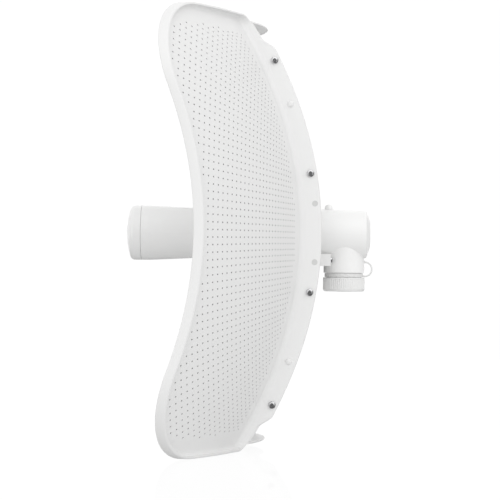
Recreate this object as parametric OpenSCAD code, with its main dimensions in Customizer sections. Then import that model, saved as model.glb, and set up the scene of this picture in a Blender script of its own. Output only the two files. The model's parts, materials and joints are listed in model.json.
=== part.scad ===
// Outdoor wireless bridge: three-panel parabolic dish with a feed tube in front
// and a radio housing with a capped cable port behind.
// Origin at the dish vertex on the boresight. The dish looks along -Y, +Z is up.

/* [Dish] */
// Focal length of the reflector paraboloid
focal = 200; // [195:1:210]
// Overall width across both wings
dish_w = 616; // [600:2:630]
// Overall height of the wings
wing_h = 492; // [486:2:496]
// Overall height of the centre panel
centre_h = 477; // [472:1:482]
// Radius of the wings' outer corners
corner_r = 96; // [85:1:100]
// Thickness of the panels
skin = 2; // [1.6:0.2:2.4]
// Depth of the turned-back lip on the wings
wing_lip = 11; // [9:1:13]
// Depth of the turned-back lip on the centre panel
centre_lip = 22; // [19:1:24]

/* [Wing flanges] */
// Distance of the flange joint from the centre plane
flange_x = 85; // [82:1:90]
// Height of the flanges behind the dish surface
flange_h = 25.5; // [24:0.5:27]
// Radius of the corner where the lip turns into the flange
root_r = 12; // [10:1:14]
// Thickness of each flange
flange_t = 2.5; // [2:0.5:3]
// Height of the screws above the dish surface
screw_h = 18; // [17:0.5:19]
// Distance of the inner screws from the mid height
screw_a = 67; // [64:1:70]
// Distance of the outer screws from the mid height
screw_b = 194; // [190:1:197]

/* [Feed] */
// Distance of the feed tip in front of the vertex
feed_len = 209; // [206:1:214]
// Largest radius of the feed tube
feed_r = 31.4; // [31:0.1:32]

/* [Housing] */
// Radius of the housing at its front end
house_r = 29; // [28.6:0.1:29.4]
// Distance of the housing's rear face behind the vertex
house_y = 72.6; // [72:0.2:74]

/* [Cable port] */
// Distance of the port's axis behind the vertex
port_y = 42.6; // [42.2:0.1:43]
// Outer radius of the port cap
cap_r = 24.1; // [23.8:0.1:24.6]
// Number of grip ribs on the port cap
cap_ribs = 60; // [48:2:68]

/* [Pole bracket] */
// Hole spacing of the pole bracket, both ways
bracket_pitch = 80; // [78:1:82]
// Radius of the pole bracket holes
bracket_hole_r = 3.3; // [3.2:0.1:3.5]

/* [Hidden] */
$fn = 64;
gap = 0.02; // between parts that meet

// Flanges: heights are behind the dish surface
rim_r = 400;            // beyond the wings' far corners
wing_flange_end = wing_h / 2 - root_r;
centre_flange_end = centre_h / 2 - 0.4;
step_start = 207;       // the flanges step down between these heights from mid height
step_end = 219;
wing_flange_low = 15;
centre_flange_low = 16.5;
pin_z = 33;
pin_h = 19;
boss_z = 145;
boss_h = 15.5;

// Hub and housing
bore_r = 25.3;          // through the dish, hub plate and housing
pad_back = 2.2;         // rear face of the centre panel's pad
plate_t = 3;
plate_back = pad_back + plate_t;
hub_screw_ring = 42;
ear_depth = 22;
house_screw_x = 22.5;
house_screw_z = -30;
button_y = 24.4;

// Feed: the parts near its tip are drawn for drawn_feed_len and moved back by feed_shift
drawn_feed_len = 218;
feed_shift = drawn_feed_len - feed_len;
radiator_r = 25.8;

// Radio board
board_w = 40;
board_z = 2;            // underside
board_t = 1.6;
tongue_w = 16;
reset_x = 13;

// Cable port, pointing down
spigot_r = 20.5;
cap_floor_z = -63.8;
tether_z = -32;         // height of the tether's plug

white = [0.93, 0.93, 0.92];
grey = [0.72, 0.72, 0.71];
steel = [0.62, 0.62, 0.63];
seal_black = [0.15, 0.15, 0.15];
soft_black = [0.2, 0.2, 0.2];

// ---- Shared shapes and placements ----

// y of the dish surface at a radius from the boresight
function dish_y(radius) = -radius * radius / (4 * focal);
// y of the dish surface along the flange joint
function joint_y(z) = dish_y(norm([flange_x, z]));

// turns a shape drawn along +Z so that it lies along +Y
module to_y() {
    rotate([-90, 0, 0]) children();
}
// turns a shape drawn along +Z so that it lies along +X
module to_x() {
    rotate([0, 90, 0]) children();
}
module both_sides() {
    children();
    mirror([1, 0, 0]) children();
}

// section of the surface between two radii, moved back: [radius, y]
function dish_curve(from, to, back, segments) = [
    for (i = [0:segments])
        let (radius = from + (to - from) * i / segments)
        [radius, dish_y(radius) + back]];

// ring of the paraboloid between two radii, from its surface to depth behind it
module band(inner, outer, depth, segments = 20) {
    to_y() rotate_extrude($fn = 120) polygon(concat(
        dish_curve(inner, outer, 0, segments),
        dish_curve(outer, inner, depth, segments)));
}

// the four screw places of the right-hand flange, pointing along +X
module at_screws() {
    for (side = [-1, 1], z = [screw_a, screw_b])
        translate([flange_x, joint_y(z) + screw_h, side * z]) to_x() children();
}
// the two pin places of the right-hand flange, pointing along +X
module at_pins() {
    for (side = [-1, 1])
        translate([flange_x, joint_y(pin_z) + pin_h, side * pin_z]) to_x() children();
}
// the four pole bracket places, pointing back from y
module at_bracket_holes(y) {
    for (x = [-1, 1], z = [-1, 1])
        translate([x * bracket_pitch / 2, y, z * bracket_pitch / 2]) to_y() children();
}
// the four hub screw places, pointing back from y
module at_hub_screws(y) {
    for (turn = [0:90:270])
        rotate([0, turn, 0]) translate([0, y, hub_screw_ring]) to_y() children();
}
// the two housing screw places, pointing back from y
module at_house_screws(y) {
    for (side = [-1, 1])
        translate([side * house_screw_x, y, house_screw_z]) to_y() children();
}

// cross-recessed pan head screw, head underside at z = 0, shank below
module pan_screw(shank_r, length, head_r, head_h) {
    difference() {
        union() {
            translate([0, 0, -length]) cylinder(r = shank_r, h = length + 0.5);
            rotate_extrude() polygon([
                [0, 0], [head_r, 0], [head_r, head_h * 0.45], [head_r * 0.93, head_h * 0.72],
                [head_r * 0.75, head_h * 0.92], [head_r * 0.5, head_h], [0, head_h]]);
        }
        translate([0, 0, head_h * 0.4]) for (turn = [0, 90]) rotate([0, 0, turn])
            translate([-head_r * 0.55, -head_r * 0.13, 0])
                cube([head_r * 1.1, head_r * 0.26, head_h]);
    }
}

// sealing ring around the boresight
module o_ring(y, ring_r) {
    to_y() translate([0, 0, y]) rotate_extrude()
        translate([ring_r, 0]) circle(r = 0.93, $fn = 32);
}

// ---- Dish panels ----

// right wing's outline as a block, inset on every side,
// with large outer corners and small corners at the flange
module wing_block(inset) {
    x_in = flange_x + inset;
    x_out = dish_w / 2 - inset;
    height = wing_h - 2 * inset;
    small_r = root_r - inset;
    large_r = corner_r - inset;
    front = -200 - inset;
    depth = 240 + 2 * inset;
    translate([x_in + small_r, front, -height / 2])
        cube([x_out - large_r - x_in - small_r, depth, height]);
    translate([x_in, front, -height / 2 + small_r])
        cube([small_r + 1, depth, height - 2 * small_r]);
    translate([x_out - large_r - 1, front, -height / 2 + large_r])
        cube([large_r + 1, depth, height - 2 * large_r]);
    for (side = [-1, 1]) {
        translate([x_in + small_r, front, side * (height / 2 - small_r)])
            to_y() cylinder(r = small_r, h = depth);
        translate([x_out - large_r, front, side * (height / 2 - large_r)])
            to_y() cylinder(r = large_r, h = depth, $fn = 96);
    }
}

// height lost to an elliptical rounding over the last stretch before a flange's end
function end_drop(dist, end, run, drop) = dist < end - run ? 0
    : drop * (1 - sqrt(max(0, 1 - pow((dist - end + run) / run, 2))));

// flange height at z: full, then a cosine step down, then a low end with a rounded tip;
// the centre panel's low end also slopes by 1 mm
function flange_height(z, centre) =
    let (dist = abs(z), low = centre ? centre_flange_low : wing_flange_low)
    dist < step_start ? flange_h
    : dist < step_end ? low + (flange_h - low)
        * (1 + cos(180 * (dist - step_start) / (step_end - step_start))) / 2
    : centre ? low - (dist - step_end) / (centre_flange_end - step_end)
        - end_drop(dist, centre_flange_end, run = 3, drop = 3)
    : low - end_drop(dist, wing_flange_end, run = 7, drop = 4);

// flange that stands behind the dish, its lower-x face at x
module flange_plate(x, centre = false) {
    segments = 96;
    root = 0.8; // front edge, within the skin
    end = centre ? centre_flange_end : wing_flange_end;
    // stations crowd towards the ends and are symmetric about mid height
    stations = [for (i = [0:segments]) end * sin(90 * (2 * i / segments - 1))];
    translate([x, 0, 0]) rotate([90, 0, 90]) linear_extrude(height = flange_t) polygon(concat(
        [for (z = stations) [joint_y(z) + flange_height(z, centre), z]],
        [for (z = stations) [joint_y(z) + root, -z]]));
}

// screw and pin holes through one right-hand flange, start is measured from the joint
module flange_holes(start) {
    at_screws() translate([0, 0, start]) cylinder(r = 2.3, h = flange_t + 3);
    at_pins() translate([0, 0, start]) cylinder(r = 3.4, h = flange_t + 3);
}

module right_wing_shape() {
    difference() {
        union() {
            // skin
            intersection() {
                band(flange_x - 5, rim_r, skin * 1.15);
                wing_block(0);
            }
            // lip
            intersection() {
                band(flange_x - 5, rim_r, wing_lip);
                difference() {
                    wing_block(0);
                    wing_block(skin);
                }
            }
            flange_plate(flange_x);
            // stepped bosses on the flange's outer face
            for (side = [-1, 1])
                translate([flange_x + flange_t - 0.5, joint_y(boss_z) + boss_h, side * boss_z])
                    to_x() {
                        cylinder(r = 3.6, h = 1.5);
                        cylinder(r1 = 3.1, r2 = 2.3, h = 2.6);
                    }
        }
        flange_holes(-1);
    }
}
module wing_right() {
    color(white) right_wing_shape();
}
module wing_left() {
    color(white) mirror([1, 0, 0]) right_wing_shape();
}

module centre_reflector() {
    width = 2 * (flange_x - gap);
    corner_reach = 275; // beyond the panel's corners
    front = -140;
    depth = 180;
    pad_w = 108;
    pad_front = -12;
    color(white) difference() {
        union() {
            // skin
            intersection() {
                band(0, corner_reach, skin * 1.1, 16);
                translate([-width / 2, front, -centre_h / 2]) cube([width, depth, centre_h]);
            }
            // top and bottom lips
            intersection() {
                band(200, corner_reach, centre_lip, 8);
                union() for (side = [-1, 1])
                    translate([-width / 2, front, side * (centre_h - skin) / 2 - skin / 2])
                        cube([width, depth, skin]);
            }
            // flat-backed pad behind the middle
            intersection() {
                translate([-pad_w / 2, pad_front, -pad_w / 2])
                    cube([pad_w, pad_back - pad_front, pad_w]);
                band(0, 85, 14, 8);
            }
            both_sides() flange_plate(flange_x - flange_t - gap, centre = true);
        }
        translate([0, -10, 0]) to_y() cylinder(r = bore_r, h = 20);
        both_sides() flange_holes(-flange_t - 1);
        at_bracket_holes(-15) cylinder(r = bracket_hole_r, h = 25);
        at_hub_screws(-15) cylinder(r = 2.2, h = 25);
    }
}

// ---- Flange fasteners: heads outside, nuts towards the centre ----

module wing_screws() {
    color(steel) both_sides() at_screws() translate([0, 0, flange_t + gap])
        pan_screw(shank_r = 2, length = 11, head_r = 4.2, head_h = 2.8);
}
module wing_nuts() {
    nut_h = 5;
    color(steel) both_sides() at_screws()
        translate([0, 0, -flange_t - nut_h - 2 * gap]) difference() {
            cylinder(r = 4.2, h = nut_h, $fn = 6);
            translate([0, 0, -1]) cylinder(r = 2.05, h = nut_h + 2);
        }
}
module alignment_pins() {
    inward = 5; // reach from the joint towards the centre
    color(grey) both_sides() at_pins() translate([0, 0, -inward])
        cylinder(r = 3.35, h = inward + flange_t + 0.1);
}

// ---- Hub and rear housing ----

module hub_plate() {
    width = 100;
    front = pad_back + gap;
    thick = plate_t - 2 * gap;
    cut_h = 12;
    color(grey) difference() {
        union() {
            translate([-width / 2, front, -width / 2]) cube([width, thick, width]);
            // round middle, flush with the square
            translate([0, front, 0]) to_y() cylinder(r = 34, h = thick);
        }
        translate([0, -1, 0]) to_y() cylinder(r = bore_r, h = cut_h);
        at_bracket_holes(-1) cylinder(r = bracket_hole_r, h = cut_h);
        at_hub_screws(-1) cylinder(r = 2.05, h = cut_h);
        at_house_screws(-1) cylinder(r = 1.7, h = cut_h);
    }
}
module hub_screws() {
    color(steel) at_hub_screws(plate_back + gap)
        pan_screw(shank_r = 2, length = 7, head_r = 3.8, head_h = 2.4);
}

// outside of the cup for the release button, on top of the housing
module button_cup() {
    translate([0, button_y, 12]) cylinder(r = 7.4, h = 15.6);
}

// hollow housing with a button cup on top and a cable port underneath
module rear_housing() {
    front = plate_back + gap;
    // section of the shell: [radius, y]
    shell = [
        [0, house_y - 2.4], [0, house_y], [15, house_y], [26.4, house_y - 4.1],
        [house_r - 1.6, house_y - 4.6], [house_r, front], [bore_r, front],
        [bore_r, house_y - 7], [14.4, house_y - 2.4]];
    color(white) difference() {
        union() {
            to_y() rotate_extrude($fn = 96) polygon(shell);
            // port neck and its lower spigot
            translate([0, port_y, -44.8]) cylinder(r = 23.5, h = 30);
            translate([0, port_y, -61]) cylinder(r = spigot_r, h = 20);
            button_cup();
            // ears for the two housing screws
            for (side = [-1, 1])
                translate([side * 20 - 7.5, front, -37]) cube([15, ear_depth, 14]);
        }
        // inside of the port
        translate([0, port_y, -70]) cylinder(r = 17.6, h = 62);
        // inside of the shell, leaving the cup
        difference() {
            translate([0, front - 1, 0]) to_y() cylinder(r = bore_r, h = house_y - 6 - front);
            button_cup();
        }
        // inside of the cup and its narrower mouth
        translate([0, button_y, 13.4]) cylinder(r = 6.1, h = 11.4);
        translate([0, button_y, 20]) cylinder(r = 4.58, h = 20);
        // hole for the tether plug
        translate([0, port_y + 15, tether_z]) to_y() cylinder(r = 1.55, h = 12);
        at_house_screws(front - 1) cylinder(r = 2.2, h = 26);
    }
}
module housing_screws() {
    color(steel) at_house_screws(plate_back + ear_depth + 0.1)
        pan_screw(shank_r = 1.65, length = 24, head_r = 3.4, head_h = 2.2);
}

module release_button() {
    // section: [radius, z]
    outline = [
        [0, 22.8], [5.95, 22.8], [5.95, 24.4], [4.5, 24.4], [4.5, 29.6],
        [4.35, 31], [3.7, 32.5], [2.6, 33.6], [1.3, 34.1], [0, 34.2]];
    color(white) translate([0, button_y, 0]) rotate_extrude() polygon(outline);
}
// stack of separate rings for the coils
module release_spring() {
    coils = 8;
    pitch = 1.145;
    first_z = 14.1;
    color(steel) translate([0, button_y, 0]) for (i = [0:coils - 1])
        translate([0, 0, first_z + i * pitch]) rotate_extrude()
            translate([4.2, 0]) circle(r = 0.62, $fn = 24);
}

// ---- Feed ----

module feed_tube() {
    // section: [radius, y]
    outline = [
        // outside, front to back
        [feed_r, feed_shift - 200.6], [feed_r, feed_shift - 190], [29.1, feed_shift - 141],
        [27.3, feed_shift - 100], [26.3, -60], [26, -1.2],
        // rear end with the seal's groove
        [25.2, -1.2], [25.2, 2.6], [23.3, 2.6], [23.3, 4.8], [25.2, 4.8], [25.15, 8],
        // inside, back to front
        [21.5, 8], [21.5, -3], [23.4, -60], [24.6, feed_shift - 100],
        [26.6, feed_shift - 141], [29, feed_shift - 188], [29, feed_shift - 200.6]];
    color(white) to_y() rotate_extrude($fn = 96) polygon(outline);
}
module hub_seal() {
    color(seal_black) o_ring(3.7, 24.25);
}

// domed cap on the feed's front end
module feed_cap() {
    tip = -drawn_feed_len;
    dome_r = 28.6;
    inner_r = 27;
    dome_rise = 4.6;
    wall = 2.2;
    segments = 12;
    // rim between the dome's outer and inner faces: [radius, y]
    rim = [
        [feed_r - 1.5, tip + 5.6], [feed_r - 0.6, tip + 6.8], [feed_r - 0.1, tip + 8.4],
        [feed_r, tip + 10.2], [feed_r, -200.9], [28.95, -200.9], [28.95, -198.6],
        [27, -198.6], [27, -196.4], [28.95, -196.4], [28.95, -192.5], [25.9, -192.5],
        [25.9, -204], [dome_r, -206], [dome_r, tip + 8.4]];
    color(white) translate([0, feed_shift, 0]) to_y() rotate_extrude($fn = 96) polygon(concat(
        [for (i = [0:segments])
            [dome_r * i / segments, tip + dome_rise * pow(i / segments, 2)]],
        rim,
        [for (i = [segments:-1:0])
            let (radius = inner_r * i / segments)
            [radius, tip + wall + dome_rise * pow(radius / dome_r, 2)]]));
}
module feed_cap_seal() {
    color(seal_black) o_ring(feed_shift - 197.5, 28);
}
module sub_reflector() {
    // section: [radius, y]
    outline = [
        [0, -205.9], [25.8, -205.9], [25.8, -204.7], [12, -204.7], [9, -202.6], [0, -202.6]];
    color(steel) translate([0, feed_shift, 0]) to_y() rotate_extrude() polygon(outline);
}
// disc slotted for the board's tongue
module feed_radiator() {
    play = 0.1;
    color([0.2, 0.42, 0.3]) difference() {
        translate([0, feed_shift - 200.4, 0]) to_y() cylinder(r = radiator_r, h = 1.6);
        translate([-tongue_w / 2 - play, feed_shift - 205, board_z - play])
            cube([tongue_w + 2 * play, 10, board_t + 2 * play]);
    }
}

// ---- Electronics ----

// disc with a slot for the board and openings above and below it
module board_carrier() {
    color([0.3, 0.3, 0.32]) difference() {
        translate([0, -1, 0]) to_y() cylinder(r = 21.4, h = 7);
        translate([-board_w / 2 - 0.1, -5, board_z - 0.05])
            cube([board_w + 0.2, 20, board_t + 0.1]);
        translate([-14, -5, board_z + board_t]) cube([28, 20, 9]);
        translate([-13, -5, -14]) cube([26, 20, 13]);
    }
}
// board with a narrow tongue at its front end
module radio_board() {
    front = feed_shift - 190;
    back = 60;
    color([0.16, 0.38, 0.25]) union() {
        translate([-board_w / 2, front, board_z]) cube([board_w, back - front, board_t]);
        translate([-tongue_w / 2, front - 11, board_z]) cube([tongue_w, 12, board_t]);
    }
}
// open-bottomed box on top of the board
module shield_can() {
    color(grey) difference() {
        translate([-15, -120, board_z + board_t + gap]) cube([30, 62, 5]);
        translate([-14.5, -119.5, 3]) cube([29, 61, 5.1]);
    }
}
// jack under the board, opening down into the port
module ethernet_jack() {
    bottom = -14;
    color(grey) difference() {
        translate([-8, port_y - 7.2, bottom]) cube([16, 14.4, board_z - gap - bottom]);
        translate([-6, port_y - 4.2, bottom - 1]) cube([12, 8.4, 13]);
    }
}
module reset_switch() {
    width = 6;
    bottom = -1.5;
    color(soft_black) difference() {
        translate([reset_x - width / 2, port_y - width / 2, bottom])
            cube([width, width, board_z - gap - bottom]);
        translate([reset_x, port_y, -3]) cylinder(r = 1.56, h = 4);
    }
}
module reset_button() {
    color(grey) translate([reset_x, port_y, -5]) cylinder(r = 1.5, h = 4.8);
}

// ---- Cable port ----

// corner i of the cap's outline: each rib takes two outer and two inner corners
function rib_corner(i) =
    let (turn = 360 * i / (4 * cap_ribs), radius = cap_r - ((i % 4) < 2 ? 0 : 0.4))
    [radius * cos(turn), radius * sin(turn)];

module port_cap() {
    smooth_r = cap_r - 0.05;
    rib_z = -63.6;
    // section of the bottom below the ribs: [radius, z]
    bottom = [
        [0, -66.3], [cap_r - 2.4, -66.3], [cap_r - 0.9, -65.6], [smooth_r, rib_z],
        [smooth_r, -63.2], [0, -63.2]];
    color(white) translate([0, port_y, 0]) difference() {
        union() {
            translate([0, 0, rib_z]) linear_extrude(height = 12)
                polygon([for (i = [0:4 * cap_ribs - 1]) rib_corner(i)]);
            rotate_extrude($fn = 96) polygon(bottom);
            // smooth top rim
            translate([0, 0, -52]) cylinder(r = smooth_r, h = 1.8, $fn = 96);
        }
        translate([0, 0, cap_floor_z]) cylinder(r = spigot_r + 0.08, h = 20);
        translate([0, 0, -70]) cylinder(r = 8, h = 20);
    }
}
module port_gasket() {
    color(soft_black) translate([0, port_y, cap_floor_z + 0.1]) difference() {
        cylinder(r = 20.3, h = 2.6);
        translate([0, 0, -1]) cylinder(r = 16, h = 5);
    }
}
module cable_grommet() {
    color(soft_black) translate([0, port_y, 0]) difference() {
        union() {
            translate([0, 0, -66.5]) cylinder(r = 7.9, h = 3);
            translate([0, 0, cap_floor_z + 0.1]) cylinder(r = 10.5, h = 2.4);
        }
        translate([0, 0, -70]) cylinder(r = 3, h = 20);
    }
}
// ring round the port with a loop of cord behind it and a plug into the housing
module cap_tether() {
    color(white) union() {
        translate([0, port_y, -49.7]) difference() {
            cylinder(r = 22.3, h = 4.4);
            translate([0, 0, -1]) cylinder(r = spigot_r + 0.1, h = 8);
        }
        // cord, an arc in the centre plane
        translate([0, port_y + 24.2, -40.5]) rotate([90, 0, 90]) rotate([0, 0, -112])
            rotate_extrude(angle = 208) translate([8.2, 0]) circle(r = 0.95, $fn = 24);
        translate([0, port_y + 20.2, tether_z]) to_y() cylinder(r = 1.5, h = 4.4);
    }
}

centre_reflector();
wing_right();
wing_left();
wing_screws();
wing_nuts();
alignment_pins();
hub_plate();
hub_screws();
rear_housing();
housing_screws();
release_button();
release_spring();
feed_tube();
hub_seal();
feed_cap();
feed_cap_seal();
sub_reflector();
feed_radiator();
board_carrier();
radio_board();
shield_can();
ethernet_jack();
reset_switch();
reset_button();
port_cap();
port_gasket();
cable_grommet();
cap_tether();
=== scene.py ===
"""Folding dish antenna: a perforated centre panel, a wing on each side, and detail on the CAD parts.

The dish stands upright: X runs across it (right wing at +X), Z is up, and the boresight lies
along Y. The hollow front faces -Y; rims, flanges and bosses stand up on the back, towards +Y.
Shapes are worked out in millimetres and scaled to metres when a mesh is made.
"""
import bpy, bmesh, json
from math import sin, cos, pi, sqrt, radians, hypot
from mathutils import Vector, Matrix
from mathutils.geometry import delaunay_2d_cdt


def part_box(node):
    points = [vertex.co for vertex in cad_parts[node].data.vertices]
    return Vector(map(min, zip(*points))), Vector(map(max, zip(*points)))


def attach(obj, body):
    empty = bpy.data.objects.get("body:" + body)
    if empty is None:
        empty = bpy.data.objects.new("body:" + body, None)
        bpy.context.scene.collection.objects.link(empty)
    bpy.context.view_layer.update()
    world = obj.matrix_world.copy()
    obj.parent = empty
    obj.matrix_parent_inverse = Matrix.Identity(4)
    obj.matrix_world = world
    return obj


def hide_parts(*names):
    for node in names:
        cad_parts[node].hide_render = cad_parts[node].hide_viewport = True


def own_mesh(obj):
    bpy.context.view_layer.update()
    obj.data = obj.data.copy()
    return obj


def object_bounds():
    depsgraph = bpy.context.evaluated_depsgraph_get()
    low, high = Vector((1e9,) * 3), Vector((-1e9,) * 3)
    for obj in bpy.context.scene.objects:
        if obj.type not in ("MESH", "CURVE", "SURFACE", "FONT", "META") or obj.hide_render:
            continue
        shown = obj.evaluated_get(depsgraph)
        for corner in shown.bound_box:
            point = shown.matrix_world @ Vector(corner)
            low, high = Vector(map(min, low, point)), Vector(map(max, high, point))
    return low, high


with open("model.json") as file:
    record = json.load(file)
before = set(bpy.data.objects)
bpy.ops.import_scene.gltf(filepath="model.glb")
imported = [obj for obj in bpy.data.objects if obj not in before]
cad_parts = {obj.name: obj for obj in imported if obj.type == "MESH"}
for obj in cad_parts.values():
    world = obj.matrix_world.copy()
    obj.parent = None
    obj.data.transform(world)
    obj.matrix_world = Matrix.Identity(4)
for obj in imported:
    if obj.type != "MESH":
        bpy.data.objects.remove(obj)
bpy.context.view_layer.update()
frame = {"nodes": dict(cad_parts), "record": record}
NODES = frame["nodes"]
MM = 0.001


def box_mm(node):
    return [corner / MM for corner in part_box(node)]


# ---------------------------------------------------------------- sizes (mm)
wing_low, wing_high = box_mm("wing_right")
WING_X0 = wing_low.x            # inner edge of the wing
WING_X1 = wing_high.x           # outer edge
WING_Z = wing_high.z            # half height
CENTRE_Z = box_mm("centre_reflector")[1].z
OUTER_R = 96.0                  # outer corners of a wing, seen from the front
INNER_R = 12.0                  # corners beside the centre panel
FOCAL = 200.0                   # focal length of the paraboloid
SKIN = 2.3                      # thickness of the dish surface
WALL = 2.5                      # thickness of rims and flanges
RIM_INSET = 9.2                 # width of the band along an outline that belongs to the rim

RING_PITCH = 7.0                # between rings of perforations
HOLE_R = 0.9
HOLE_SIDES = 8

FLANGE_H = 25.5                 # flange height behind the surface
STEP_START, STEP_LENGTH = 207, 12   # |z| where the flange steps down
STEP_END = STEP_START + STEP_LENGTH
WING_LOW_H = 15.0               # flange height past the step
CENTRE_LOW_H = 16.5
WING_FLANGE_END = WING_Z - INNER_R
CENTRE_FLANGE_END = CENTRE_Z - 1.0
WING_END_LENGTH, WING_END_DROP = 7, 4   # rounding of the flange ends
CENTRE_END_LENGTH, CENTRE_END_DROP = 3, 3


# ---------------------------------------------------------------- shader nodes
def put(socket, value):
    if isinstance(value, bpy.types.NodeSocket):
        socket.id_data.links.new(value, socket)
    else:
        socket.default_value = value


def setup(node, *values, **settings):
    """Sets or links inputs by place or by name ("_" for a space); other names are properties."""
    for name, value in settings.items():
        label = name.replace("_", " ")
        if label in node.inputs:
            put(node.inputs[label], value)
        else:
            setattr(node, name, value)
    for socket, value in zip(node.inputs, values):
        put(socket, value)
    return node


def add(tree, kind, *values, **settings):
    return setup(tree.nodes.new("ShaderNode" + kind), *values, **settings)


def calc(tree, operation, a, b=0.0):
    return add(tree, "Math", a, b, operation=operation).outputs[0]


def noise(tree, **settings):
    return add(tree, "TexNoise", **settings).outputs["Fac"]


def mix_color(tree, factor, a, b):
    return add(tree, "Mix", data_type="RGBA", Factor=factor, A=a, B=b).outputs["Result"]


def map_range(tree, value, low, high):
    return add(tree, "MapRange", Value=value, To_Min=low, To_Max=high).outputs["Result"]


def bump_normal(tree, height, strength, distance):
    bump = add(tree, "Bump", Strength=strength, Distance=distance, Height=height)
    return bump.outputs["Normal"]


# ---------------------------------------------------------------- materials
MATERIALS = {}


def new_material(name):
    """Returns the node tree, the Principled shader and the object coordinates."""
    material = bpy.data.materials.new(name)
    material.use_nodes = True
    MATERIALS[name] = material
    tree = material.node_tree
    return tree, tree.nodes["Principled BSDF"], add(tree, "TexCoord").outputs["Object"]


def satin(name, color, rough=0.45, grain=1800.0, bump=0.06, mottle=0.012):
    """Moulded or coated surface: fine grain bump, slow colour drift, uneven gloss."""
    tree, shader, place = new_material(name)
    fine = noise(tree, Vector=place, Scale=grain, Detail=3.0, Roughness=0.6)
    drift = noise(tree, Vector=place, Scale=14.0, Detail=4.0, Roughness=0.55)
    gloss = noise(tree, Vector=place, Scale=grain * 0.22, Detail=2.0)
    darker = (*[c - mottle for c in color], 1)
    lighter = (*[c + mottle for c in color], 1)
    setup(shader,
          Base_Color=mix_color(tree, drift, a=darker, b=lighter),
          Roughness=map_range(tree, gloss, low=rough - 0.06, high=rough + 0.06),
          Normal=bump_normal(tree, fine, strength=bump, distance=0.0002),
          Coat_Roughness=0.3)


def metal(name, color, rough=0.28):
    """Bare metal: fine grain squeezed along Y, patchy tone and gloss."""
    tree, shader, place = new_material(name)
    squeezed = add(tree, "Mapping", Vector=place, Scale=(1.0, 6.0, 1.0)).outputs["Vector"]
    grain = noise(tree, Vector=squeezed, Scale=2500.0, Detail=4.0)
    patches = noise(tree, Vector=place, Scale=220.0, Detail=3.0)
    darker = (*[c * 0.82 for c in color], 1)
    setup(shader,
          Base_Color=mix_color(tree, patches, a=darker, b=(*color, 1)),
          Roughness=map_range(tree, patches, low=rough * 0.7, high=rough * 1.4),
          Normal=bump_normal(tree, grain, strength=0.15, distance=0.0001),
          Metallic=1.0)


def board(name):
    """Circuit board: bundles of tracks that run one way or the other, and small tinned pads."""
    track_rate, track_share = 900.0, 0.42   # tracks per metre, part of the pitch they fill
    bundle_scale, bundle_cut = 105.0, 0.4   # size of the bundles, part left without tracks
    pad_scale, pad_size, pad_cut = 260.0, 0.2, 0.6
    tree, shader, place = new_material(name)
    axes = add(tree, "SeparateXYZ", Vector=place).outputs

    def stripes(axis):
        phase = calc(tree, "FRACT", calc(tree, "MULTIPLY", axes[axis], track_rate))
        return calc(tree, "LESS_THAN", phase, track_share)

    def cells(**settings):
        """Cell pattern: its outputs, and the random colour of each cell in channels."""
        pattern = add(tree, "TexVoronoi", Vector=place, **settings).outputs
        return pattern, add(tree, "SeparateColor", Color=pattern["Color"]).outputs

    bundle = cells(distance="CHEBYCHEV", Scale=bundle_scale)[1]
    way = calc(tree, "GREATER_THAN", bundle["Red"], 0.5)
    shown = calc(tree, "GREATER_THAN", bundle["Green"], bundle_cut)
    along_x = calc(tree, "MULTIPLY", way, stripes("Y"))
    along_y = calc(tree, "MULTIPLY", calc(tree, "SUBTRACT", 1.0, way), stripes("X"))
    tracks = calc(tree, "MULTIPLY", calc(tree, "ADD", along_x, along_y), shown)

    dots, dot_color = cells(Scale=pad_scale)
    pads = calc(tree, "MULTIPLY",
                calc(tree, "LESS_THAN", dots["Distance"], pad_size),
                calc(tree, "GREATER_THAN", dot_color["Blue"], pad_cut))
    mask = mix_color(tree, tracks, a=(0.008, 0.085, 0.04, 1), b=(0.016, 0.135, 0.062, 1))
    relief = calc(tree, "ADD", tracks, pads)
    setup(shader,
          Base_Color=mix_color(tree, pads, a=mask, b=(0.55, 0.55, 0.52, 1)),
          Metallic=pads,
          Roughness=0.35,
          Normal=bump_normal(tree, relief, strength=0.35, distance=0.0001))


satin("panel_white", (0.80, 0.80, 0.797), rough=0.5, grain=2200, bump=0.05, mottle=0.006)
satin("plastic_white", (0.87, 0.87, 0.865), rough=0.4, grain=3000, bump=0.05, mottle=0.006)
satin("cap_plastic", (0.80, 0.80, 0.795), grain=3000, mottle=0.006)
satin("tether_white", (0.74, 0.74, 0.735), rough=0.55, grain=3500, bump=0.08)
metal("bright_steel", (0.66, 0.66, 0.67), rough=0.2)
# walls of the perforations: a darker grey that paints in the shade inside the holes (painted shade);
# the real colour of the hole walls is unknown
satin("hole_wall_painted_shade", (0.36, 0.36, 0.36), rough=0.7, grain=3000, bump=0.1)
satin("pin_grey", (0.61, 0.61, 0.605), rough=0.5, grain=3000, bump=0.1)
satin("plate_metal", (0.55, 0.55, 0.545), rough=0.5, grain=2000, bump=0.1)
metal("spring_steel", (0.55, 0.55, 0.55), rough=0.3)
satin("seal_rubber", (0.03, 0.03, 0.03), rough=0.7, grain=2500, bump=0.2)
metal("reflector_metal", (0.75, 0.75, 0.76), rough=0.35)
board("board_green")
satin("carrier_grey", (0.08, 0.08, 0.09), rough=0.5)
metal("shield_metal", (0.6, 0.6, 0.6), rough=0.35)
metal("jack_metal", (0.6, 0.6, 0.6), rough=0.3)
satin("switch_black", (0.02, 0.02, 0.02))


def finish_mesh(mesh, slot, sharp_angle):
    """Smooth shading with creases, and the slot's material."""
    for face in mesh.polygons:
        face.use_smooth = True
    mesh.set_sharp_from_angle(angle=radians(sharp_angle))
    mesh.materials.append(MATERIALS[slot])


SLOTS = {part["node"]: part["material_slot"] for part in frame["record"]["subparts"]}
for node_name, part in NODES.items():
    part.data.materials.clear()
    finish_mesh(part.data, SLOTS[node_name], sharp_angle=28)


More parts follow.
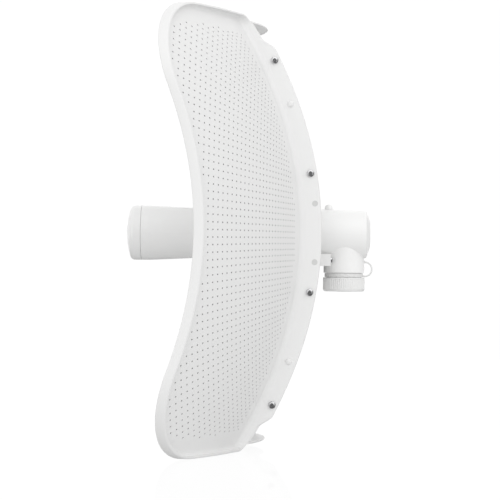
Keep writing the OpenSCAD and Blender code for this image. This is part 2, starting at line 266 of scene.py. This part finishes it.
# ---------------------------------------------------------------- mesh helpers
# A geometry is a pair (verts, faces), in mm.
def make(name, geometry, slot, node, sharp_angle=32):
    """Builds an object of the dish that takes the place of a CAD node."""
    verts, faces = geometry
    mesh = bpy.data.meshes.new(name)
    mesh.from_pydata([tuple(c * MM for c in v) for v in verts], [], faces)
    mesh.validate()
    obj = bpy.data.objects.new(name, mesh)
    bpy.context.scene.collection.objects.link(obj)
    bm = bmesh.new()
    bm.from_mesh(mesh)
    bmesh.ops.remove_doubles(bm, verts=bm.verts, dist=2e-6)
    bmesh.ops.recalc_face_normals(bm, faces=bm.faces)
    bm.to_mesh(mesh)
    bm.free()
    finish_mesh(mesh, slot, sharp_angle)
    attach(obj, "dish")
    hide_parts(node)
    return obj


def join(*parts):
    verts, faces = [], []
    for part_verts, part_faces in parts:
        base = len(verts)
        verts += part_verts
        faces += [tuple(base + i for i in face) for face in part_faces]
    return verts, faces


def loft(verts, size, ring=False, tube=False):
    """Joins consecutive sections of `size` points. A ring closes on its first section, anything
    else is capped at both ends; in a tube each section is itself a closed loop."""
    count = len(verts) // size
    faces = []
    for c in range(count if ring else count - 1):
        a, b = c * size, (c + 1) % count * size
        for k in range(size if tube else size - 1):
            n = (k + 1) % size
            faces.append((a + k, a + n, b + n, b + k))
    if not ring:
        last = (count - 1) * size
        faces.append(tuple(range(size)))
        faces.append(tuple(last + k for k in reversed(range(size))))
    return verts, faces


def quarter(steps):
    """Angles from 0 to 90 degrees."""
    return [pi / 2 * i / steps for i in range(steps + 1)]


def smooth(t):
    t = max(0.0, min(1.0, t))
    return t * t * (3 - 2 * t)


def dish(x, z):
    """Y of the front surface."""
    return -(x * x + z * z) / (4 * FOCAL)


def dish_back(x, z):
    return dish(x, z) + SKIN


def circle(x, z, radius, sides):
    turns = [2 * pi * (k + 0.5) / sides for k in range(sides)]
    return [(x + radius * cos(a), z + radius * sin(a)) for a in turns]


def inside(x, z, outline):
    """Whether a point lies in a polygon, by counting crossings."""
    result = False
    xj, zj = outline[-1]
    for xi, zi in outline:
        if (zi > z) != (zj > z) and x < (xj - xi) * (z - zi) / (zj - zi) + xi:
            result = not result
        xj, zj = xi, zi
    return result


OUTLINE, FREE, CROSSING = -1, -2, -3   # origins of sheet points; holes count from 0


def sheet(outline, open_edges, holes, free_points, front, back):
    """Triangulated plate between two surfaces, pierced by holes. Outline edges listed in
    open_edges get no wall, so that a rim can join there."""
    points, origin, edges = [], [], []
    for number, loop in enumerate([outline, *holes], start=OUTLINE):
        start = len(points)
        points += [Vector(p) for p in loop]
        origin += [number] * len(loop)
        edges += [(start + k, start + (k + 1) % len(loop)) for k in range(len(loop))]
    points += [Vector(p) for p in free_points]
    origin += [FREE] * len(free_points)
    flat, _, found, sources, *_ = delaunay_2d_cdt(points, edges, [], 0, 1e-5)
    source = [s[0] if s else -1 for s in sources]

    def unwanted(triangle):
        """Fills a hole, or joins outline points outside the outline or in a straight line."""
        origins = {origin[source[v]] if source[v] >= 0 else CROSSING for v in triangle}
        if len(origins) > 1:
            return False
        number = origins.pop()
        if number != OUTLINE:
            return number >= 0
        a, b, c = (flat[v] for v in triangle)
        if not inside((a.x + b.x + c.x) / 3, (a.y + b.y + c.y) / 3, outline):
            return True
        return abs((b.x - a.x) * (c.y - a.y) - (c.x - a.x) * (b.y - a.y)) < 1e-7

    triangles = [t for t in found if not unwanted(t)]
    n = len(flat)
    verts = [(v.x, front(v.x, v.y), v.y) for v in flat]
    verts += [(v.x, back(v.x, v.y), v.y) for v in flat]
    faces = [tuple(t) for t in triangles]
    faces += [tuple(n + v for v in reversed(t)) for t in triangles]
    placed = {i: k for k, i in enumerate(source) if i >= 0}
    for number, (i, j) in enumerate(edges):
        # points that were merged with another have no place of their own
        if number not in open_edges and i in placed and j in placed:
            a, b = placed[i], placed[j]
            faces.append((a, b, n + b, n + a))
    return verts, faces


def perforations(allowed, mirrored=False):
    """Small holes in rings about the boresight, counted out from the horizontal axis so that
    they line up in rows which draw together towards the middle. Right side, or both sides."""
    centres = []
    for k in range(1, 60):
        r = (k + 0.5) * RING_PITCH
        spacing = 6.35 + 1.75 * max(0.0, (r - 110) / 180.0) ** 1.65
        reach = int((pi / 2) * r / spacing)
        for j in range(-reach, reach + 1):
            a = j * spacing / r
            x, z = r * cos(a), r * sin(a)
            if mirrored and x < 3.4:
                continue
            if allowed(x, z):
                centres.append((x, z))
                if mirrored:
                    centres.append((-x, z))
        if mirrored:
            centres += [(0.0, z) for z in (r, -r) if allowed(0.0, z)]
    return [circle(x, z, HOLE_R, HOLE_SIDES) for x, z in centres]


def paint_hole_shade(obj):
    """Gives the walls of the perforations a darker material: painted shade standing in for the
    shadow inside the holes.
    """
    mesh = obj.data
    mesh.materials.append(MATERIALS["hole_wall_painted_shade"])
    side = 2 * HOLE_R * sin(pi / HOLE_SIDES)
    for face in mesh.polygons:
        if len(face.vertices) != 4 or abs(face.normal.y) > 0.02:
            continue
        corners = [mesh.vertices[v].co / MM for v in face.vertices]
        pairs = list(zip(corners, corners[1:] + corners[:1]))
        flat = sorted(hypot(a.x - b.x, a.z - b.z) for a, b in pairs)
        tallest = max(abs(a.y - b.y) for a, b in pairs)
        one_side = all(abs(length - side) < 0.02 for length in flat[2:])
        if flat[1] < 0.001 and one_side and abs(tallest - SKIN) < 0.05:
            face.material_index = 1


# ---------------------------------------------------------------- rims
# A column is a place on an outline with its outward normal: (x, z, nx, nz).
def arc(x, z, radius, angles):
    return [(x + radius * cos(a), z + radius * sin(a), cos(a), sin(a)) for a in angles]


def rim_profile(lip, front_r):
    """(inset, height) from the front surface, round the lip, to the back surface."""
    edge, foot = 0.8, 6.4       # radii: edges of the lip, fillet at the back
    part = 0.3 * edge           # middle point of a rounded edge
    profile = [(RIM_INSET, 0), (6.0, 0)]
    profile += [(front_r - front_r * sin(t), front_r - front_r * cos(t)) for t in quarter(5)]
    profile += [
        (0, front_r + (lip - front_r - edge) * 0.5), (0, lip - edge), (part, lip - part),
        (edge, lip), (WALL - edge, lip), (WALL - part, lip - part), (WALL, lip - edge),
    ]
    profile += [(WALL + foot - foot * cos(t), SKIN + foot - foot * sin(t)) for t in quarter(7)]
    return profile + [(RIM_INSET, SKIN)]


def rim(columns, lip, closed=False):
    verts = []
    for x, z, nx, nz in columns:
        # the front edge is sharper where the outline faces -X
        profile = rim_profile(lip(x, z), front_r=1.0 + 1.2 * (1 + min(nx, 0.0)))
        for inset, height in profile:
            px, pz = x - inset * nx, z - inset * nz
            verts.append((px, dish(px, pz) + height, pz))
    return loft(verts, len(profile), ring=closed)


def inner_line(columns):
    """Where a rim meets the sheet."""
    return [(x - RIM_INSET * nx, z - RIM_INSET * nz) for x, z, nx, nz in columns]


# ---------------------------------------------------------------- flange heights
def stepped(a, low):
    """Height at distance a from mid-height, up to the end of the step."""
    if a < STEP_START:
        return FLANGE_H
    return low + (FLANGE_H - low) * (1 + cos(pi * (a - STEP_START) / STEP_LENGTH)) / 2


def end_drop(a, end, length, drop):
    t = max(0.0, (a - end + length) / length)
    return drop * (1 - sqrt(max(0.0, 1 - t ** 2)))


def wing_flange_height(z):
    a = abs(z)
    if a < STEP_END:
        return stepped(a, WING_LOW_H)
    return WING_LOW_H - end_drop(a, WING_FLANGE_END, WING_END_LENGTH, WING_END_DROP)


def centre_flange_height(z):
    """Also slopes down by 1 mm past the step."""
    a = abs(z)
    if a < STEP_END:
        return stepped(a, CENTRE_LOW_H)
    slope = (a - STEP_END) / (CENTRE_FLANGE_END - STEP_END)
    drop = end_drop(a, CENTRE_FLANGE_END, CENTRE_END_LENGTH, CENTRE_END_DROP)
    return CENTRE_LOW_H - slope - drop


def flange_rows(between, end, length, steps):
    """Z stations: even, closer over the step, a few between, then round the end."""
    upper = [3.6 * i for i in range(56)] + [202.5 + 1.1 * i for i in range(17)] + between
    upper += [end - length + length * sin(t) for t in quarter(steps)]
    upper = sorted(set(upper))
    return [-z for z in reversed(upper) if z > 0] + upper


# ---------------------------------------------------------------- wings
def wing_outline():
    """Columns clockwise from the top inner corner, seen with +X to the right and +Z up."""
    x0, x1 = WING_X0 + INNER_R, WING_X1 - OUTER_R
    straight = WING_Z - OUTER_R
    along, down, corner, small = 26, 56, 30, 12     # steps
    xs = [x0 + (WING_X1 - OUTER_R - WING_X0 - INNER_R) * i / along for i in range(along)]
    columns = [(x, WING_Z, 0, 1) for x in xs]
    turn = [pi / 2 * (1 - i / corner) for i in range(corner + 1)]
    columns += arc(x1, straight, OUTER_R, turn)
    columns += [(WING_X1, straight - 2 * straight * i / down, 1, 0) for i in range(1, down)]
    columns += arc(x1, -straight, OUTER_R, [-t for t in quarter(corner)])
    columns += [(x, -WING_Z, 0, -1) for x in reversed(xs)]
    turn = [-pi / 2 * (1 + i / small) for i in range(1, small)]
    columns += arc(x0, -WING_FLANGE_END, INNER_R, turn)
    rows = flange_rows([223.5], WING_FLANGE_END, WING_END_LENGTH, 10)
    columns += [(WING_X0, z, -1, 0) for z in rows]
    turn = [pi - pi / 2 * i / small for i in range(1, small)]
    columns += arc(x0, WING_FLANGE_END, INNER_R, turn)
    return columns


def wing_lip(x, z):
    """The rim is a low lip that rises near the centre panel and becomes the flange there."""
    low, rise = 11.0, 3.2
    if x < WING_X0 + 0.001:
        return max(wing_flange_height(z), low + rise * smooth((abs(z) - 200) / 20))
    return low + rise * (1 - smooth((x - WING_X0) / (INNER_R + 18.0)))


def wing_back(x, z):
    """The plain margin beside the flange stands slightly proud of the perforated field."""
    d = x - WING_X0
    across = (1 - smooth((d - 15) / 9.0)) * smooth((d - 9.3) / 3.0)
    return dish_back(x, z) + 0.7 * across * smooth((WING_Z - 12 - abs(z)) / 10.0)


def wing_perforated(x, z):
    plain_inner, plain_outer, plain_ends, plain_corner = 25.0, 15.5, 22.5, 13
    if x < WING_X0 + plain_inner or x > WING_X1 - plain_outer or abs(z) > WING_Z - plain_ends:
        return False
    cx, cz = WING_X1 - OUTER_R, WING_Z - OUTER_R
    in_corner = x > cx and abs(z) > cz
    return not (in_corner and hypot(x - cx, abs(z) - cz) > OUTER_R - plain_corner)


BOSS = [    # (x from the flange face, radius)
    (-0.6, 0), (-0.6, 3.9), (0.05, 3.8), (0.8, 3.5), (1.5, 2.9), (2.1, 2.0), (2.35, 1.0), (2.4, 0),
]
BOSS_Z = 145
BOSS_HEIGHT = 15.5              # behind the front surface


def boss(z, sides=40):
    """Domed boss on the outward (+X) face of the wing flange."""
    y = dish(WING_X0, BOSS_Z) + BOSS_HEIGHT
    verts = []
    for i in range(sides):
        a = 2 * pi * i / sides
        verts += [(WING_X0 + WALL + dx, y + r * cos(a), z + r * sin(a)) for dx, r in BOSS]
    return loft(verts, len(BOSS), ring=True)


def wing():
    columns = wing_outline()
    outline = inner_line(columns)
    margin = [(WING_X0 + d, -228 + 5.7 * i)
              for d in (11.0, 13.0, 15.5, 17.5, 19.5, 21.5, 23.5) for i in range(81)]
    plate = sheet(outline, range(len(outline)), perforations(wing_perforated), margin,
                  dish, wing_back)
    return join(rim(columns, wing_lip, closed=True), plate, boss(-BOSS_Z), boss(BOSS_Z))


wing_verts, wing_faces = wing()
mirrored_wing = [(-x, y, z) for x, y, z in wing_verts], [f[::-1] for f in wing_faces]
right = make("wing_right_panel", (wing_verts, wing_faces), "panel_white", "wing_right")
left = make("wing_left_panel", mirrored_wing, "panel_white", "wing_left")


# ---------------------------------------------------------------- centre panel
CENTRE_X = WING_X0 - 0.02       # half width, a hair short of the wings
RIM_X = CENTRE_X - 0.05         # half width of the top and bottom rims
BORE_R = 25.3
HUB_HOLES = [circle(0, 0, BORE_R, 72)]
HUB_HOLES += [circle(a * 40, b * 40, 3.3, 24) for a in (-1, 1) for b in (-1, 1)]
HUB_HOLES += [circle(42 * a, 42 * b, 2.2, 20) for a, b in ((1, 0), (-1, 0), (0, 1), (0, -1))]


def centre_lip(x, z):
    """Deepest at mid-width."""
    return 22.3 - 6.6 * (abs(x) / CENTRE_X) ** 1.8


def centre_perforated(x, z):
    if abs(x) > CENTRE_X - WALL - 8.5 or abs(z) > CENTRE_Z - 17.5:
        return False
    return not (abs(x) < 58 and abs(z) < 58)    # plain square round the hub


def centre_flange(side):
    """Upright plate behind one side edge, with a filleted foot towards the middle."""
    foot, edge = 5.0, 0.6       # radii: fillet, top edges
    part = 0.3 * edge
    bottom = 0.9                # sunk into the skin
    rows = flange_rows([223.0, 226.5, 230.0, 232.5], CENTRE_FLANGE_END, CENTRE_END_LENGTH, 7)
    verts = []
    for z in rows:
        h = centre_flange_height(z)
        profile = [(0, bottom), (WALL + foot, bottom), (WALL + foot, SKIN)]
        profile += [(WALL + foot - foot * sin(t), SKIN + foot - foot * cos(t))
                    for t in quarter(6)[1:]]
        profile += [(WALL, h - edge), (WALL - part, h - part), (WALL - edge, h),
                    (edge, h), (part, h - part), (0, h - edge)]
        for depth, height in profile:
            x = side * (CENTRE_X - depth)
            # the foot follows the surface, the top is level across the plate
            ground = dish(x, z) if height <= SKIN + foot else dish(WING_X0, z)
            verts.append((x, ground + height, z))
    return loft(verts, len(profile), tube=True)


def hub_pad():
    """Flat-backed rounded square round the bore, on the back of the panel."""
    half, corner_r, spacing = 54.0, 8.0, 6
    middle = half - corner_r
    loop = []
    for sx, sz, start in ((1, 1, 0), (-1, 1, 90), (-1, -1, 180), (1, -1, 270)):
        for i in range(9):
            a = radians(start + 90 * i / 8)
            loop.append((sx * middle + corner_r * cos(a), sz * middle + corner_r * sin(a)))
    outline = []
    for a, b in zip(loop, loop[1:] + loop[:1]):
        n = max(1, int(hypot(b[0] - a[0], b[1] - a[1]) / spacing))
        outline += [(a[0] + (b[0] - a[0]) * k / n, a[1] + (b[1] - a[1]) * k / n)
                    for k in range(n)]
    return sheet(outline, (), HUB_HOLES, [],
                 front=lambda x, z: dish(x, z) + 1.2, back=lambda x, z: 2.2)


def hub_points():
    """Rings of mesh points round the bore, clear of the four corner holes."""
    rings = ((29, 60), (34, 60), (47, 64), (51, 72), (56, 80))  # (radius, count)
    points = [(r * cos(2 * pi * j / n), r * sin(2 * pi * j / n)) for r, n in rings for j in range(n)]
    return [(x, z) for x, z in points
            if all(hypot(x - a * 40, z - b * 40) > 4.6 for a in (-1, 1) for b in (-1, 1))]


def centre_panel():
    across, down = 44, 78       # steps along the rims and the side edges
    top = [(-RIM_X + 2 * RIM_X * i / across, CENTRE_Z, 0, 1) for i in range(across + 1)]
    bottom = [(RIM_X - 2 * RIM_X * i / across, -CENTRE_Z, 0, -1) for i in range(across + 1)]
    z1 = CENTRE_Z - RIM_INSET
    outline = inner_line(top)
    outline += [(CENTRE_X, z1 - 2 * z1 * i / down) for i in range(1, down)]
    bottom_start = len(outline)
    outline += inner_line(bottom)
    outline += [(-CENTRE_X, -z1 + 2 * z1 * i / down) for i in range(1, down)]
    rim_edges = {*range(across), *range(bottom_start, bottom_start + across)}
    holes = perforations(centre_perforated, mirrored=True) + HUB_HOLES
    plate = sheet(outline, rim_edges, holes, hub_points(), dish, dish_back)
    return join(rim(top, centre_lip), rim(bottom, centre_lip), plate,
                centre_flange(-1), centre_flange(1), hub_pad())


centre = make("centre_panel", centre_panel(), "panel_white", "centre_reflector")
for panel in (right, left, centre):
    paint_hole_shade(panel)


# ---------------------------------------------------------------- coil spring under the button
def coil(cx, cy, z0, z1, radius, wire, turns, per_turn=34, sides=12):
    steps = int(turns * per_turn)
    verts = []
    for i in range(steps + 1):
        u = i / steps
        a = 2 * pi * turns * u
        # closed end coils: the pitch starts and finishes small
        z = z0 + (z1 - z0) * (u - 0.11 * sin(2 * pi * u))
        for j in range(sides):
            b = 2 * pi * j / sides
            r = radius + wire * cos(b)
            verts.append((cx + r * cos(a), cy + r * sin(a), z + wire * sin(b)))
    return loft(verts, sides, tube=True)


WIRE_R = 0.5
low, high = box_mm("release_spring")
spring_x, spring_y = (low.x + high.x) / 2, (low.y + high.y) / 2
spring_coil = coil(spring_x, spring_y, low.z + WIRE_R, high.z - WIRE_R,
                   radius=(high.x - low.x) / 2 - WIRE_R - 0.1, wire=WIRE_R, turns=6.5)
spring = make("release_spring_coil", spring_coil, "spring_steel", "release_spring", sharp_angle=50)
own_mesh(spring)

# ---------------------------------------------------------------- broken edges on the CAD parts
BEVELS = {  # node: width (mm)
    "rear_housing": 0.5, "hub_plate": 0.4, "port_cap": 0.12, "ethernet_jack": 0.2,
    "shield_can": 0.2, "alignment_pins": 0.2, "feed_cap": 0.25, "feed_tube": 0.2,
    "release_button": 0.1,
}
for node_name, width in BEVELS.items():
    bevel = NODES[node_name].modifiers.new("edge", "BEVEL")
    bevel.width = width * MM
    bevel.segments = 2
    bevel.limit_method = "ANGLE"
    bevel.angle_limit = radians(40)


# ---------------------------------------------------------------- floor and backdrop (m)
def studio(name, glow, diffuse, mirror):
    """Glowing surface with a little diffuse and mirror light, clear when seen from behind."""
    material = bpy.data.materials.new(name)
    material.use_nodes = True
    tree = material.node_tree
    tree.nodes.remove(tree.nodes["Principled BSDF"])
    emission = add(tree, "Emission", Strength=glow)
    matt = add(tree, "BsdfDiffuse", Color=(diffuse, diffuse, diffuse, 1))
    gloss = add(tree, "BsdfGlossy", Color=(mirror, mirror, mirror, 1), Roughness=0.02)
    lit = add(tree, "AddShader", emission.outputs[0], matt.outputs[0])
    lit = add(tree, "AddShader", lit.outputs[0], gloss.outputs[0])
    behind = add(tree, "NewGeometry").outputs["Backfacing"]
    clear = add(tree, "BsdfTransparent")
    surface = add(tree, "MixShader", behind, lit.outputs[0], clear.outputs[0])
    setup(tree.nodes["Material Output"], Surface=surface.outputs[0])
    return material


def backdrop():
    """Floor that sweeps up into a wall on the -X side."""
    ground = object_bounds()[0].z
    sweep_r = 2.0
    profile = [(-6, 0)]         # (distance towards -X, height)
    profile += [(3.0 + sweep_r * sin(t), sweep_r - sweep_r * cos(t)) for t in quarter(16)]
    profile += [(5.0, 9.0)]
    verts = [(-x, y, ground - 0.0005 + z) for x, z in profile for y in (-9, 9)]
    faces = [(2 * i, 2 * i + 1, 2 * i + 3, 2 * i + 2) for i in range(len(profile) - 1)]
    mesh = bpy.data.meshes.new("floor")
    mesh.from_pydata(verts, [], faces)
    mesh.materials.append(studio("studio_floor", glow=0.87, diffuse=0.08, mirror=0.06))
    mesh.materials.append(studio("studio_back", glow=1.0, diffuse=0.02, mirror=0.0))
    for face in mesh.polygons:
        face.use_smooth = True
        level = max(mesh.vertices[v].co.z for v in face.vertices) < ground
        face.material_index = 0 if level else 1
    obj = bpy.data.objects.new("floor", mesh)
    bpy.context.scene.collection.objects.link(obj)
    obj.visible_diffuse = False
    obj.visible_glossy = False


backdrop()

# ---------------------------------------------------------------- world
DOME = 1.04                     # overall level
TILT = 0.52                     # brighter above
CAMERA_SIDE = 0.10              # brighter towards +X
REAR = 0.16                     # brighter towards +Y
SIDES = 0.5                     # darker towards both ends of Y
ZENITH, ZENITH_START = 0.92, 0.45   # darker overhead, from this height up
MIRROR_BRIGHT, MIRROR_DROP = 1.5, 1.32  # seen in gloss: level, and loss in the dark areas


def soft_dome(tree, x, y, z):
    soft = calc(tree, "ADD", calc(tree, "MULTIPLY", z, TILT), DOME)
    soft = calc(tree, "ADD", soft, calc(tree, "MULTIPLY", x, CAMERA_SIDE))
    soft = calc(tree, "ADD", soft, calc(tree, "MULTIPLY", y, REAR))
    # y squared, less its mean over the sphere
    ends = calc(tree, "SUBTRACT", calc(tree, "MULTIPLY", y, y), 1 / 3)
    soft = calc(tree, "SUBTRACT", soft, calc(tree, "MULTIPLY", ends, SIDES))
    top = calc(tree, "MAXIMUM", calc(tree, "SUBTRACT", z, ZENITH_START), 0.0)
    return calc(tree, "SUBTRACT", soft, calc(tree, "MULTIPLY", top, ZENITH / (1 - ZENITH_START)))


def mirrored_dome(tree, x, y, z):
    """Bright, but dark below, in an area towards +Y and in a spot at +X."""
    below = calc(tree, "LESS_THAN", z, -0.12)
    rear = calc(tree, "MULTIPLY", calc(tree, "GREATER_THAN", y, 0.45),
                calc(tree, "LESS_THAN", z, 0.5))
    spot = calc(tree, "GREATER_THAN", x, 0.95)
    dark = calc(tree, "MAXIMUM", calc(tree, "MAXIMUM", below, rear), spot)
    return calc(tree, "SUBTRACT", MIRROR_BRIGHT, calc(tree, "MULTIPLY", dark, MIRROR_DROP))


def studio_world():
    """Soft dome for diffuse light, another for reflections, plain white for the camera."""
    world = bpy.data.worlds.new("studio")
    bpy.context.scene.world = world
    world.use_nodes = True
    tree = world.node_tree
    direction = add(tree, "TexCoord").outputs["Generated"]
    axes = add(tree, "SeparateXYZ", Vector=direction).outputs
    xyz = axes["X"], axes["Y"], axes["Z"]
    ray = add(tree, "LightPath").outputs
    light = add(tree, "Mix", Factor=ray["Is Glossy Ray"],
                A=soft_dome(tree, *xyz), B=mirrored_dome(tree, *xyz))
    seen = add(tree, "Mix", Factor=ray["Is Camera Ray"], A=light.outputs["Result"], B=1.0)
    setup(tree.nodes["Background"], Color=seen.outputs["Result"], Strength=1.0)


studio_world()


# ---------------------------------------------------------------- light and camera (m)
def key_light(location, target, size, power):
    """Square soft light."""
    light = bpy.data.lights.new("key", "AREA")
    light.shape = "RECTANGLE"
    light.size = size
    light.size_y = size
    light.energy = power
    obj = bpy.data.objects.new("key", light)
    bpy.context.scene.collection.objects.link(obj)
    obj.location = location
    obj.rotation_mode = "QUATERNION"
    aim = Vector(target) - Vector(location)
    obj.rotation_quaternion = aim.to_track_quat("-Z", "Y")


def side_camera(distance, yaw, pitch, roll):
    """Looks along -X at the origin, with +Y to the right; a negative pitch looks upwards."""
    forward = Vector((-cos(yaw) * cos(pitch), -sin(yaw) * cos(pitch), -sin(pitch)))
    level = Vector((-sin(yaw), cos(yaw), 0))
    upright = level.cross(forward)
    right_axis = sin(roll) * upright + cos(roll) * level
    up_axis = cos(roll) * upright - sin(roll) * level
    camera = bpy.data.cameras.new("camera")
    camera.sensor_width = 36
    camera.lens = 185.036544
    camera.shift_x = -0.1148
    camera.shift_y = -0.0322
    camera.clip_start = 0.05
    camera.clip_end = 60
    obj = bpy.data.objects.new("camera", camera)
    bpy.context.scene.collection.objects.link(obj)
    pose = Matrix((right_axis, up_axis, -forward)).transposed().to_4x4()
    pose.translation = -distance * forward
    obj.matrix_world = pose
    bpy.context.scene.camera = obj


key_light(location=(1.6, 0.0, 2.2), target=(0, -0.02, 0), size=1.6, power=3.0)
side_camera(distance=2.98, yaw=radians(0.2), pitch=radians(-0.8), roll=radians(0.45))
bpy.context.scene.view_settings.view_transform = "Standard"

bpy.context.view_layer.update()
